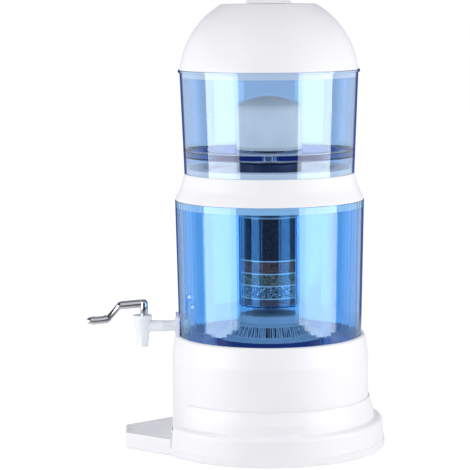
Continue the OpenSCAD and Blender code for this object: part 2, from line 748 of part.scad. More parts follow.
module cartridge_housing() {
    color([0.55, 0.72, 0.9, 0.6]) difference() {
        turned([[0, cart_z], [cart_r, cart_z, 1.6], [cart_r, dish_z - 0.2], [cart_in_r, dish_z - 0.2],
            [cart_in_r, cart_z + cart_floor], [0, cart_z + cart_floor]]);
        around(16) translate([12, -1, cart_z - 1]) cube([cart_in_r - 16, 2, cart_floor + 2]);
    }
}

// Level at which a media layer starts, each with a mesh disc on top
function layer_z(i) = i == 0 ? cart_z + cart_floor : layer_z(i - 1) + layer_h[i - 1] + mesh_h;

module layer(i, tint) {
    color(tint) translate([0, 0, layer_z(i)]) cylinder(r = cart_in_r - 0.1, h = layer_h[i]);
}

module silica_layer() { layer(0, "mediumpurple"); }
module mineral_layer() { layer(1, "lightslategray"); }
module zeolite_layer() { layer(2, "olivedrab"); }
module ceramic_ball_layer() { layer(3, "indianred"); }
module carbon_layer() { layer(4, "black"); }

module mesh_discs() {
    color("white") for (i = [0:len(layer_h) - 1])
        translate([0, 0, layer_z(i) + layer_h[i]]) cylinder(r = cart_in_r - 0.1, h = mesh_h);
}

// ---------------------------------------------------------------- upper tank and dome

module upper_tank() {
    z0 = upper_z;
    under = upper_z + skirt_h;
    w = tank_wall;
    rim_z = upper_rim_z - rim_h;
    color([0.6, 0.78, 0.93, 0.5]) turned([[upper_r, z0, 0.6], [upper_out(rim_z), rim_z],
        [upper_rim_r, rim_z, 0.6], [upper_rim_r, upper_rim_z, 1],
        [upper_out(upper_rim_z) - w, upper_rim_z, 0.4], [upper_out(upper_floor_z) - w, upper_floor_z, 4],
        [stem_hole_r, upper_floor_z], [stem_hole_r, under], [upper_out(under) - w, under, 2],
        [upper_r - w, z0, 0.6]]);
}

module dome_gasket() {
    color("dimgray") translate([0, 0, upper_floor_z]) difference() {
        cylinder(r = 20, h = gasket_h);
        translate([0, 0, -1]) cylinder(r = stem_r + 0.1, h = gasket_h + 2);
    }
}

module dome_base() {
    color("whitesmoke") difference() {
        union() {
            translate([0, 0, dome_z]) cylinder(r = dome_r + 0.5, h = dome_base_h);
            translate([0, 0, stem_z]) cylinder(r = stem_r, h = dome_z - stem_z + 1);
        }
        translate([0, 0, stem_z - 1]) cylinder(r = stem_r / 2, h = dome_z - stem_z + dome_base_h + 2);
    }
}

// Half section of a domed plug: straight side, rounded shoulder, shallow crown
function domed(r, z0, top, crown, shoulder) =
    let (edge = top - crown + sqrt(crown * crown - r * r))
    rounded(concat([[0, z0], [r, z0], [r, edge, shoulder]],
        [for (p = arc([0, top - crown], crown, acos(r * 0.75 / crown), 90, 8)) [p[0], p[1]]]));

module ceramic_dome() {
    z0 = dome_z + dome_base_h;
    color("ivory") difference() {
        rotate_extrude() polygon(domed(dome_r, z0, z0 + dome_h, dome_crown_r, 9));
        rotate_extrude() polygon(domed(dome_r - dome_wall, z0 - 1, z0 + dome_h - dome_wall, dome_crown_r, 5));
    }
}

module dome_carbon() {
    z0 = dome_z + dome_base_h;
    color("black") rotate_extrude() polygon(domed(dome_r - dome_wall - snug, z0,
        z0 + dome_h - dome_wall - snug, dome_crown_r, 5));
}

module wing_nut() {
    hub_r = stem_r + 4;
    under = upper_z + skirt_h;
    h = 7;
    color("white") difference() {
        union() {
            translate([0, 0, under - h]) cylinder(r = hub_r, h = h);
            for (a = [0, 180]) rotate([0, 0, a]) translate([0, -1.6, under - h + 1])
                cube([hub_r + 9, 3.2, h - 2]);
        }
        translate([0, 0, under - h - 1]) cylinder(r = stem_r + 0.05, h = h + 2);
    }
}

// ---------------------------------------------------------------- lid

module lid() {
    w = cover_wall;
    edge = [upper_out(upper_rim_z) - 0.4, upper_rim_z + 1.6];
    top = [edge[0] - lid_side_w, lid_z];
    centre = arc_centre(edge, top, lid_curve_r);
    a0 = atan2(edge[1] - centre[1], edge[0] - centre[0]);
    a1 = atan2(top[1] - centre[1], top[0] - centre[0]);
    in_r = lid_curve_r - w;
    in_a1 = asin((lid_z - w - centre[1]) / in_r);
    skirt_z = upper_rim_z - lid_skirt_h;
    skirt_r = upper_out(skirt_z) - tank_wall - snug;
    color("white") difference() {
        union() {
            rotate_extrude() polygon(concat([[edge[0], upper_rim_z]], arc(centre, lid_curve_r, a0, a1, 24),
                [[0, lid_z + 0.6], [0, lid_z - w]], arc(centre, in_r, in_a1, a0, 20),
                [[skirt_r - w, skirt_z], [skirt_r, skirt_z], [skirt_r, upper_rim_z]]));
            translate([0, 0, lid_z - w - 3]) cylinder(r = 9, h = 4);
        }
        translate([0, 0, lid_z - w - 4]) cylinder(r = screw_r + snug, h = w + 6);
    }
}

module knob() {
    w = 2.6;
    dish_r = 15;
    dish_h = 3.2;
    color("white") difference() {
        translate([0, 0, lid_z + 0.7]) union() {
            turned([[knob_r, 0], [knob_r - 0.3, 1.2, 0.4], [knob_waist_r, knob_h * 0.34, 10],
                [knob_top_r, knob_h * 0.8, 6], [knob_top_r - 1.4, knob_h - 0.7, 3],
                [dish_r, knob_h - dish_h, 8],
                [0, knob_h - dish_h - 0.4], [0, knob_h - dish_h - 0.4 - w],
                [dish_r - 1, knob_h - dish_h - w, 6],
                [knob_top_r - 4, knob_h - 0.7 - w, 2], [knob_waist_r - w, knob_h * 0.34, 8],
                [knob_r - w - 0.6, 0]], 6);
            cylinder(r = 5, h = knob_h - 4);
        }
        translate([0, 0, lid_z - 1]) cylinder(r = screw_r + 0.05, h = knob_h - 6);
    }
}

module knob_screw() {
    head_z = lid_z - cover_wall - 3;
    color("silver") {
        translate([0, 0, head_z - 3]) cylinder(r = 5, h = 3);
        translate([0, 0, head_z - 1]) cylinder(r = screw_r, h = knob_h - 4);
    }
}

// ---------------------------------------------------------------- nodes

feet();
base_plate();
base_collar();
stand();
base_screws();
lower_tank();
stone_case_base();
stone_case_cover();
mineral_stones();
tap_body();
tap_bonnet();
tap_washer();
tap_gasket();
tap_nut();
stem_seal();
valve_plunger();
valve_seat_plug();
valve_spring();
tap_lever();
lever_pin();
mid_ring();
cartridge_cap();
cartridge_housing();
silica_layer();
mineral_layer();
zeolite_layer();
ceramic_ball_layer();
carbon_layer();
mesh_discs();
upper_tank();
dome_gasket();
dome_base();
ceramic_dome();
dome_carbon();
wing_nut();
lid();
knob();
knob_screw();
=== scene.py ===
import math

import bmesh
import bpy
from mathutils import Matrix, Vector


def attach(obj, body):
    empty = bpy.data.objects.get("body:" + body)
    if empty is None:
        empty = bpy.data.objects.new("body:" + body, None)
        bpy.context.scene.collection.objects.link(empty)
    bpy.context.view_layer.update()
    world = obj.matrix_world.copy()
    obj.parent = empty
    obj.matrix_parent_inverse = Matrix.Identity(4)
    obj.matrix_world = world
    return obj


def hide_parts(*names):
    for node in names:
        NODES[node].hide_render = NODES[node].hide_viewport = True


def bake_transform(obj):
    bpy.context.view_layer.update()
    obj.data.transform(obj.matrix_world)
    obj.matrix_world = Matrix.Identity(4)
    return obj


bl_info = {
    "name": "Gravity water filter",
    "version": (1, 0, 0),
    "blender": (4, 5, 0),
    "location": "View3D > Sidebar > Water filter",
    "description": "Finishes and fine pieces of a countertop gravity water filter",
    "category": "Object",
}

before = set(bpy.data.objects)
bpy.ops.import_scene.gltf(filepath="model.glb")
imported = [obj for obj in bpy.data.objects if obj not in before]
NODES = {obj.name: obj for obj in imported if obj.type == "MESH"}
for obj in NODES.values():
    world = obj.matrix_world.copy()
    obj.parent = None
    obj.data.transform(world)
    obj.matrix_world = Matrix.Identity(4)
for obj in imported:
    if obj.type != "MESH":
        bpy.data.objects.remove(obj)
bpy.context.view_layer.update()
MM = 0.001

# The camera's aim in a frame 470 pixels wide: its middle lies this far below the level and left of the
# vessel's axis, at this focal length
AIM_BELOW_PX, AIM_LEFT_PX, FOCAL_PX = 247.5, 34.91, 2060


# ---------------------------------------------------------------- colours and nodes


def linear(hex_colour):
    """An sRGB hex colour as linear RGBA."""
    parts = [int(hex_colour[i:i + 2], 16) / 255 for i in (1, 3, 5)]
    return [part / 12.92 if part <= 0.04045 else ((part + 0.055) / 1.055) ** 2.4 for part in parts] + [1.0]


def per_metre(size_mm):
    """How many cells of a pattern fit in a metre, from the size of one cell in millimetres."""
    return 1 / (size_mm * MM)


def add_node(tree, kind, inputs=None, stops=(), **settings):
    """Adds a node, sets its properties, sets or links its inputs, and sets a ramp's (place, hex) stops."""
    made = tree.nodes.new(kind)
    for key, value in settings.items():
        setattr(made, key, value)
    for key, value in (inputs or {}).items():
        if isinstance(value, bpy.types.NodeSocket):
            tree.links.new(value, made.inputs[key])
        else:
            made.inputs[key].default_value = value
    if stops:
        ramp = made.color_ramp.elements
        while len(ramp) < len(stops):
            ramp.new(0.5)
        for element, (place, colour) in zip(ramp, stops):
            element.position = place
            element.color = linear(colour)
    return made


def blank_material(name):
    """A new material and its empty node tree."""
    material = bpy.data.materials.new(name)
    material.use_nodes = True
    material.node_tree.nodes.clear()
    return material, material.node_tree


def sight(tree):
    """Two switches: the place is looked at straight or through clear plastic, and it is mirrored in gloss."""
    path = add_node(tree, "ShaderNodeLightPath").outputs
    unlit = add_node(tree, "ShaderNodeMath", {0: path["Diffuse Depth"], 1: 0.5},
                     operation="LESS_THAN").outputs[0]
    gloss = add_node(tree, "ShaderNodeMath", {0: path["Glossy Depth"], 1: 0.5},
                     operation="GREATER_THAN").outputs[0]
    mirrored = add_node(tree, "ShaderNodeMath", {0: unlit, 1: gloss}, operation="MULTIPLY").outputs[0]
    looked = add_node(tree, "ShaderNodeMath", {0: path["Is Camera Ray"], 1: path["Is Transmission Ray"]},
                      operation="MAXIMUM").outputs[0]
    direct = add_node(tree, "ShaderNodeMath", {0: unlit, 1: mirrored}, operation="SUBTRACT").outputs[0]
    straight = add_node(tree, "ShaderNodeMath", {0: looked, 1: direct}, operation="MULTIPLY").outputs[0]
    return straight, mirrored


def towards_camera(tree, place, azimuth):
    """How far a place or direction reaches towards the camera's side, level."""
    front = (math.sin(azimuth), -math.cos(azimuth), 0.0)
    reach = add_node(tree, "ShaderNodeVectorMath", {0: place, 1: front}, operation="DOT_PRODUCT")
    return reach.outputs["Value"]


def skin(tree, colour, height, depth_mm, **values):
    """Covers a piece with one shader whose surface rises by a depth in millimetres where height goes to 1."""
    bump = add_node(tree, "ShaderNodeBump", {"Height": height, "Distance": depth_mm * MM, "Strength": 1.0})
    inputs = {"Base Color": colour, "Normal": bump.outputs["Normal"], **values}
    shader = add_node(tree, "ShaderNodeBsdfPrincipled", inputs)
    add_node(tree, "ShaderNodeOutputMaterial", {"Surface": shader.outputs["BSDF"]})


# ---------------------------------------------------------------- finishes


def glossy_abs(name, colour, tint, roughness):
    """Injection-moulded ABS: an even colour with a faint cloud and the fine ripple of a polished mould."""
    material, tree = blank_material(name)
    place = add_node(tree, "ShaderNodeTexCoord").outputs["Object"]
    cloud = add_node(tree, "ShaderNodeTexNoise", {"Vector": place, "Scale": per_metre(62.5), "Detail": 2.0})
    ripple = add_node(tree, "ShaderNodeTexNoise", {"Vector": place, "Scale": per_metre(1.43), "Detail": 1.0})
    shade = add_node(tree, "ShaderNodeValToRGB", {"Fac": cloud.outputs["Fac"]}, ((0.3, colour), (0.7, tint)))
    skin(tree, shade.outputs["Color"], ripple.outputs["Fac"], 0.01, Roughness=roughness, IOR=1.53)
    return material


def clear_styrene(name, wall, depth, density):
    """Tinted clear styrene: each wall takes out red first, and its depth sends edges and floors deep blue."""
    material, tree = blank_material(name)
    glass = add_node(tree, "ShaderNodeBsdfPrincipled", {
        "Base Color": linear(wall), "Roughness": 0.0, "IOR": 1.57, "Transmission Weight": 1.0})
    # Light that falls on what stands inside comes in untinted, as it does from all sides of a clear tank
    open_way = add_node(tree, "ShaderNodeBsdfTransparent", {"Color": linear("#ffffff")})
    path = add_node(tree, "ShaderNodeLightPath").outputs
    light = add_node(tree, "ShaderNodeMath", {0: path["Is Shadow Ray"], 1: path["Is Diffuse Ray"]},
                     operation="MAXIMUM")
    surface = add_node(tree, "ShaderNodeMixShader", {
        0: light.outputs[0], 1: glass.outputs["BSDF"], 2: open_way.outputs["BSDF"]})
    body = add_node(tree, "ShaderNodeVolumeAbsorption", {"Color": linear(depth), "Density": density})
    add_node(tree, "ShaderNodeOutputMaterial", {
        "Surface": surface.outputs["Shader"], "Volume": body.outputs["Volume"]})
    return material


def granules(name, size_mm, colours, depth_mm, roughness, jumble=1.0):
    """Loose grains behind the housing: each cell is one rounded grain with its own colour, and painted shade
    darkens its rim where it meets the next grain.
    """
    material, tree = blank_material(name)
    place = add_node(tree, "ShaderNodeTexCoord").outputs["Object"]
    cells = add_node(tree, "ShaderNodeTexVoronoi", {
        "Vector": place, "Scale": per_metre(size_mm), "Randomness": jumble}).outputs
    own = add_node(tree, "ShaderNodeSeparateColor", {"Color": cells["Color"]}).outputs["Red"]
    last = len(colours) - 1
    tone = add_node(tree, "ShaderNodeValToRGB", {"Fac": own}, [(i / last, c) for i, c in enumerate(colours)])
    crown = add_node(tree, "ShaderNodeMapRange", {
        "Value": cells["Distance"], "From Min": 0.0, "From Max": 0.75, "To Min": 1.0, "To Max": 0.0})
    # Painted shade: each grain darkens towards its rim, as the crevices between grains would lie in shade
    crevice_shade = add_node(tree, "ShaderNodeMapRange", {
        "Value": cells["Distance"], "From Min": 0.35, "From Max": 0.8, "To Min": 1.0, "To Max": 0.25})
    shaded = add_node(tree, "ShaderNodeMix", {
        "Factor": 1.0, "A": tone.outputs["Color"], "B": crevice_shade.outputs["Result"]},
        data_type="RGBA", blend_type="MULTIPLY")
    skin(tree, shaded.outputs["Result"], crown.outputs["Result"], depth_mm, Roughness=roughness, IOR=1.5)
    return material


def porous_ceramic(name, colour, speck):
    """Unglazed diatomite ceramic: chalky and faintly clouded, with a dry, finely pitted surface."""
    material, tree = blank_material(name)
    place = add_node(tree, "ShaderNodeTexCoord").outputs["Object"]
    # Real pores are far too fine to show, so they are drawn about a millimetre wide and down from there
    pores = add_node(tree, "ShaderNodeTexNoise", {"Vector": place, "Scale": per_metre(1.11), "Detail": 4.0})
    cloud = add_node(tree, "ShaderNodeTexNoise", {
        "Vector": place, "Scale": per_metre(33.3), "Detail": 3.0}).outputs["Fac"]
    shade = add_node(tree, "ShaderNodeValToRGB", {"Fac": cloud}, ((0.3, speck), (0.65, colour)))
    skin(tree, shade.outputs["Color"], pores.outputs["Fac"], 0.15, Roughness=0.85, IOR=1.5)
    return material


def bright_chrome(name):
    """Nickel-chrome plating over polished zinc: a mirror with the faint ripple of hand polishing."""
    material, tree = blank_material(name)
    place = add_node(tree, "ShaderNodeTexCoord").outputs["Object"]
    ripple = add_node(tree, "ShaderNodeTexNoise", {"Vector": place, "Scale": per_metre(3.846), "Detail": 1.0})
    skin(tree, linear("#cfd1d4"), ripple.outputs["Fac"], 0.01, Metallic=1.0, Roughness=0.06)
    return material


def zinc_steel(name):
    """Zinc-plated steel: lines a quarter of a millimetre fine across a soft metal sheen."""
    material, tree = blank_material(name)
    place = add_node(tree, "ShaderNodeTexCoord").outputs["Object"]
    drawn = add_node(tree, "ShaderNodeMapping", {
        "Vector": place, "Scale": (per_metre(2.5), per_metre(2.5), per_metre(0.25))}).outputs["Vector"]
    lines = add_node(tree, "ShaderNodeTexNoise", {
        "Vector": drawn, "Scale": 1.0, "Detail": 2.0}).outputs["Fac"]
    shade = add_node(tree, "ShaderNodeValToRGB", {"Fac": lines}, ((0.3, "#9a9ca0"), (0.7, "#b9bbbf")))
    skin(tree, shade.outputs["Color"], lines, 0.02, Metallic=1.0, Roughness=0.35)
    return material


def moulded_rubber(name, colour, tint, roughness):
    """Moulded rubber or silicone: a soft matt skin with a fine even grain."""
    material, tree = blank_material(name)
    place = add_node(tree, "ShaderNodeTexCoord").outputs["Object"]
    # The grain of the mould is finer than this, and drawn about half a millimetre wide so that it shows
    grain = add_node(tree, "ShaderNodeTexNoise", {
        "Vector": place, "Scale": per_metre(0.556), "Detail": 2.0}).outputs["Fac"]
    shade = add_node(tree, "ShaderNodeValToRGB", {"Fac": grain}, ((0.35, colour), (0.65, tint)))
    skin(tree, shade.outputs["Color"], grain, 0.04, Roughness=roughness, IOR=1.45)
    return material


def felt_pad(name):
    """Non-woven polyester pad: tangled white fibres, matt and loose to the eye."""
    material, tree = blank_material(name)
    place = add_node(tree, "ShaderNodeTexCoord").outputs["Object"]
    # Single fibres are too thin to show, so the tangle is drawn in knots of less than a millimetre
    fibres = add_node(tree, "ShaderNodeTexNoise", {
        "Vector": place, "Scale": per_metre(0.833), "Detail": 5.0, "Distortion": 2.5}).outputs["Fac"]
    shade = add_node(tree, "ShaderNodeValToRGB", {"Fac": fibres}, ((0.3, "#c9ccd0"), (0.6, "#f3f4f5")))
    skin(tree, shade.outputs["Color"], fibres, 0.3, Roughness=0.95)
    return material


def tumbled_stone(name):
    """Tumbled mineral pebbles: each its own earth tone, darkened by painted shade for the closed case around
    them, with fine veins and a waxy polish.
    """
    material, tree = blank_material(name)
    place = add_node(tree, "ShaderNodeTexCoord").outputs["Object"]
    own = add_node(tree, "ShaderNodeNewGeometry").outputs["Random Per Island"]
    veins = add_node(tree, "ShaderNodeTexNoise", {
        "Vector": place, "Scale": per_metre(3.125), "Detail": 5.0, "Distortion": 1.5}).outputs["Fac"]
    both = add_node(tree, "ShaderNodeMath", {0: own, 1: veins}, operation="ADD")
    half = add_node(tree, "ShaderNodeMath", {0: both.outputs[0], 1: 0.5}, operation="MULTIPLY")
    # Painted shade: the earth tones are kept dark because the pebbles sit in a closed case lit only through
    # its slots
    tone = add_node(tree, "ShaderNodeValToRGB", {"Fac": half.outputs[0]}, (
        (0.15, "#3d332f"), (0.35, "#5b544e"), (0.5, "#77695d"), (0.65, "#4f3f38"), (0.85, "#8a8279")))
    skin(tree, tone.outputs["Color"], veins, 0.1, Roughness=0.45, IOR=1.52)
    return material


# ---------------------------------------------------------------- settings


class WaterFilterFinish(bpy.types.PropertyGroup):
    """Colours and gloss of the pieces"""

    shell: bpy.props.StringProperty(
        name="Shell", description="sRGB hex colour of the white mouldings", default="#f1f1f4")
    shell_tint: bpy.props.StringProperty(
        name="Shell cloud", description="sRGB hex colour of the faint cloud in the white", default="#eeeef2")
    shell_roughness: bpy.props.FloatProperty(
        name="Shell roughness", description="Roughness of the white mouldings",
        default=0.42, min=0.05, max=1.0, subtype="FACTOR")
    lower_skin: bpy.props.StringProperty(
        name="Lower tank wall", description="sRGB hex colour that one wall of the lower tank lets through",
        default="#98cffa")
    lower_tint: bpy.props.StringProperty(
        name="Lower tank depth tint", default="#73b3e4",
        description="sRGB hex colour that the depth of the lower tank's plastic lets through")
    lower_density: bpy.props.FloatProperty(
        name="Lower tank depth", description="How fast the lower tank's plastic swallows light, per metre",
        default=30.0, min=0.0, max=1000.0)
    upper_skin: bpy.props.StringProperty(
        name="Upper tank wall", description="sRGB hex colour that one wall of the upper tank lets through",
        default="#c4dcf6")
    upper_tint: bpy.props.StringProperty(
        name="Upper tank depth tint", default="#a0c0e2",
        description="sRGB hex colour that the depth of the upper tank's plastic lets through")
    upper_density: bpy.props.FloatProperty(
        name="Upper tank depth", description="How fast the upper tank's plastic swallows light, per metre",
        default=14.0, min=0.0, max=1000.0)


class WaterFilterStage(bpy.types.PropertyGroup):
    """Studio around the filter"""

    azimuth: bpy.props.FloatProperty(
        name="Azimuth", description="Where the camera stands round the filter",
        default=math.radians(87.5), subtype="ANGLE", unit="ROTATION")
    distance: bpy.props.FloatProperty(
        name="Distance", description="From the vessel's axis to the camera, level",
        default=2.660, min=0.5, subtype="DISTANCE", unit="LENGTH")
    height: bpy.props.FloatProperty(
        name="Height", description="Camera above the counter",
        default=0.59514, min=0.0, subtype="DISTANCE", unit="LENGTH")
    focal: bpy.props.FloatProperty(
        name="Focal length", description="Lens in millimetres on a 36 mm sensor",
        default=157.79, min=20.0, max=400.0)
    pitch: bpy.props.FloatProperty(
        name="Pitch", description="How far the camera looks down",
        default=math.atan(AIM_BELOW_PX / FOCAL_PX), subtype="ANGLE", unit="ROTATION")
    yaw: bpy.props.FloatProperty(
        name="Yaw", description="How far the camera turns left of the axis",
        default=math.atan(AIM_LEFT_PX / FOCAL_PX), subtype="ANGLE", unit="ROTATION")
    roll: bpy.props.FloatProperty(
        name="Roll", description="How far the camera leans",
        default=math.radians(0.42), subtype="ANGLE", unit="ROTATION")
    lamp: bpy.props.FloatProperty(
        name="Softbox level", description="Brightness of the side softboxes as they light matt surfaces",
        default=2.3, min=0.0)
    gleam: bpy.props.FloatProperty(
        name="Softbox gleam", description="Brightness of the side softboxes as gloss mirrors them",
        default=5.4, min=0.0)
    ambient: bpy.props.FloatProperty(
        name="Ambient level", description="Brightness of the room on matt surfaces", default=0.63, min=0.0)
    paper: bpy.props.FloatProperty(
        name="Paper lift", default=0.75, min=0.0,
        description="How far the white sheet is lifted to pure white, so only shadows show on it")


# ---------------------------------------------------------------- modelling


def clad(piece, material):
    """Gives a piece one material."""
    piece.data.materials.clear()
    piece.data.materials.append(material)


def dress(node_names, material):
    """Gives CAD nodes one material."""
    for name in node_names:
        clad(NODES[name], material)


def select_only(active, *others):
    """Selects these objects and nothing else."""
    bpy.ops.object.select_all(action="DESELECT")
    for each in (active, *others):
        each.select_set(True)
    bpy.context.view_layer.objects.active = active


def block(name, low, high):
    """A block between two corners in millimetres."""
    bpy.ops.object.select_all(action="DESELECT")
    bpy.ops.mesh.primitive_cube_add(size=1.0)
    piece = bpy.context.object
    piece.name = name
    middle = [(a + b) / 2 * MM for a, b in zip(low, high)]
    size = [(b - a) * MM for a, b in zip(low, high)]
    piece.data.transform(Matrix.Translation(middle) @ Matrix.Diagonal((*size, 1)))
    return piece


def swept(name, section, stations):
    """A closed form: a flat section is extruded from station to station, each a matrix that places it."""
    bpy.ops.object.select_all(action="DESELECT")
    bpy.ops.mesh.primitive_circle_add(vertices=len(section), fill_type="NGON")
    piece = bpy.context.object
    piece.name = name
    bpy.ops.object.mode_set(mode="EDIT")
    mesh = bmesh.from_edit_mesh(piece.data)
    for corner, (across, up) in zip(mesh.verts, section):
        corner.co = stations[0] @ Vector((across, up, 0))
    bmesh.update_edit_mesh(piece.data)
    for before, after in zip(stations, stations[1:]):
        bpy.ops.mesh.extrude_region_move()
        step = after @ before.inverted()
        mesh = bmesh.from_edit_mesh(piece.data)
        for corner in mesh.verts:
            if corner.select:
                corner.co = step @ corner.co
        bmesh.update_edit_mesh(piece.data)
    bpy.ops.mesh.select_all(action="SELECT")
    bpy.ops.mesh.normals_make_consistent(inside=False)
    bpy.ops.object.mode_set(mode="OBJECT")
    return piece


def round_section(sides):
    """A circle of radius 1 as a section to sweep."""
    return [(math.cos(math.tau * i / sides), math.sin(math.tau * i / sides)) for i in range(sides)]


def cut_out(piece, tool):
    """Takes the shape of a tool out of a piece, and the tool out of the scene."""
    bpy.context.view_layer.update()
    cut = piece.modifiers.new("cut out", "BOOLEAN")
    cut.operation, cut.object, cut.solver = "DIFFERENCE", tool, "EXACT"
    select_only(piece)
    bpy.ops.object.modifier_apply(modifier=cut.name)
    bpy.data.objects.remove(tool)


def soften(piece, width_mm, angle):
    """Rounds a piece's edges that turn by more than an angle in degrees."""
    select_only(piece)
    bevel = piece.modifiers.new("soft edges", "BEVEL")
    bevel.width, bevel.segments = width_mm * MM, 2
    bevel.limit_method, bevel.angle_limit = "ANGLE", math.radians(angle)
    bpy.ops.object.modifier_apply(modifier=bevel.name)


# ---------------------------------------------------------------- operators


class FILTER_OT_stage(bpy.types.Operator):
    """Sets up the floor, the softboxes, the room light and the camera"""

    bl_idname = "water_filter.stage"
    bl_label = "Studio"

    # The room as gloss mirrors it, by direction from straight behind (0) to the camera's side (1): a dark
    # panel straight behind puts a dark line on each edge of the clear tanks and the chrome
    WALLS = ((0.0, "#42589a"), (0.05, "#5068a8"), (0.08, "#f4f4f4"), (0.30, "#f4f4f4"), (0.42, "#8a8a8e"),
             (0.52, "#3a3a3e"), (1.0, "#303034"))
    ABOVE = ((0.44, "#3a3a3e"), (0.56, "#e6e6ea"))
    # How much of the ceiling shows, by how steeply a direction rises
    CEILING = ((0.32, "#000000"), (0.46, "#ffffff"), (0.82, "#ffffff"), (0.93, "#303030"))
    # Where the mirrored sheet darkens and ends towards the camera, and ends all round, in metres
    DIMS, ENDS, RIM = (0.15, 0.30), (0.42, 0.60), (0.9, 1.1)
    # A softbox in metres: distance from the axis, width, height, the height above the floor, and its soft
    # inner edge, which is wider at the right side than at the left
    REACH, WIDTH, TALL, LIFT = 0.85, 0.64, 1.15, 0.002
    FADE, FADE_LEAN = 0.120, 0.015
    # Degrees from the camera round to each softbox
    ROUND = 64
    # Gloss mirrors the cloth up to about half a metre, so that metal keeps dark upper edges, and then this
    MIRRORED_TO, MIRRORED_REST = (0.50, 0.56), 0.12
    # Brightness of the cloth from its soft inner edge outwards
    CLOTH = ((0.0, "#b8b8b8"), (0.02, "#dcdcdc"), (0.12, "#e2e2e2"), (0.17, "#ffffff"))

    def execute(self, context):
        stage = context.scene.water_filter_stage
        self.room(context, stage)
        self.floor(stage)
        for side in (-1, 1):
            self.softbox(stage, side)
        self.camera(context, stage)
        context.scene.view_settings.view_transform = "Standard"
        return {"FINISHED"}

    def room(self, context, stage):
        """White to straight sight, even light for matt surfaces, and a room with dark parts for gloss."""
        world = bpy.data.worlds.new("Studio room")
        context.scene.world = world
        world.use_nodes = True
        tree = world.node_tree
        tree.nodes.clear()
        straight, mirrored = sight(tree)
        way = add_node(tree, "ShaderNodeTexCoord").outputs["Generated"]
        facing = towards_camera(tree, way, stage.azimuth)
        place = add_node(tree, "ShaderNodeMapRange", {
            "Value": facing, "From Min": -1.0, "From Max": 1.0}).outputs["Result"]
        up = add_node(tree, "ShaderNodeSeparateXYZ", {0: way}).outputs["Z"]
        walls = add_node(tree, "ShaderNodeValToRGB", {"Fac": place}, self.WALLS).outputs["Color"]
        above = add_node(tree, "ShaderNodeValToRGB", {"Fac": place}, self.ABOVE).outputs["Color"]
        ceiling = add_node(tree, "ShaderNodeValToRGB", {"Fac": up}, self.CEILING).outputs["Color"]
        seen = add_node(tree, "ShaderNodeMix", {"Factor": ceiling, "A": walls, "B": above}, data_type="RGBA")
        plain = add_node(tree, "ShaderNodeBackground", {
            "Color": linear("#ffffff"), "Strength": stage.ambient})
        white = add_node(tree, "ShaderNodeBackground", {"Color": linear("#ffffff"), "Strength": 1.0})
        gloss = add_node(tree, "ShaderNodeBackground", {"Color": seen.outputs["Result"], "Strength": 1.0})
        other = add_node(tree, "ShaderNodeMixShader", {0: mirrored, 1: plain.outputs[0], 2: gloss.outputs[0]})
        both = add_node(tree, "ShaderNodeMixShader", {0: straight, 1: other.outputs[0], 2: white.outputs[0]})
        add_node(tree, "ShaderNodeOutputWorld", {"Surface": both.outputs[0]})

    def floor(self, stage):
        """A white sheet that shows only the filter's shadow, and for gloss ends half a metre in front."""
        bpy.ops.object.select_all(action="DESELECT")
        bpy.ops.mesh.primitive_plane_add(size=14.0, location=(0, 0, 0))
        floor = bpy.context.object
        floor.name = "stage_floor"
        material, tree = blank_material("Matt white paper sweep")
        straight, mirrored = sight(tree)
        place = add_node(tree, "ShaderNodeTexCoord").outputs["Object"]
        forward = towards_camera(tree, place, stage.azimuth)
        # The sheet falls off into the dark on the camera's side, and stays white under the softboxes
        dim = add_node(tree, "ShaderNodeMapRange", {
            "Value": forward, "From Min": self.DIMS[0], "From Max": self.DIMS[1]}).outputs["Result"]
        dimmed = add_node(tree, "ShaderNodeMath", {0: dim, 1: mirrored}, operation="MULTIPLY")
        tone = add_node(tree, "ShaderNodeMix", {
            "Factor": dimmed.outputs[0], "A": linear("#f0f0f1"), "B": linear("#8c8c90")}, data_type="RGBA")
        paper = add_node(tree, "ShaderNodeBsdfDiffuse", {"Color": tone.outputs["Result"]})
        shade = add_node(tree, "ShaderNodeBsdfDiffuse", {"Color": linear("#b0b0b2")})
        lift = add_node(tree, "ShaderNodeEmission", {"Color": linear("#ffffff"), "Strength": stage.paper})
        lifted = add_node(tree, "ShaderNodeAddShader", {0: shade.outputs[0], 1: lift.outputs[0]})
        away = add_node(tree, "ShaderNodeVectorMath", {0: place}, operation="LENGTH")
        rim = add_node(tree, "ShaderNodeMapRange", {
            "Value": away.outputs["Value"], "From Min": self.RIM[0], "From Max": self.RIM[1]})
        edge = add_node(tree, "ShaderNodeMapRange", {
            "Value": forward, "From Min": self.ENDS[0], "From Max": self.ENDS[1]})
        end = add_node(tree, "ShaderNodeMath", {0: rim.outputs["Result"], 1: edge.outputs["Result"]},
                       operation="MAXIMUM")
        gone = add_node(tree, "ShaderNodeMath", {0: end.outputs[0], 1: mirrored}, operation="MULTIPLY")
        nothing = add_node(tree, "ShaderNodeBsdfTransparent")
        near = add_node(tree, "ShaderNodeMixShader", {
            0: gone.outputs[0], 1: paper.outputs[0], 2: nothing.outputs[0]})
        mixed = add_node(tree, "ShaderNodeMixShader", {0: straight, 1: near.outputs[0], 2: lifted.outputs[0]})
        add_node(tree, "ShaderNodeOutputMaterial", {"Surface": mixed.outputs[0]})
        floor.data.materials.append(material)

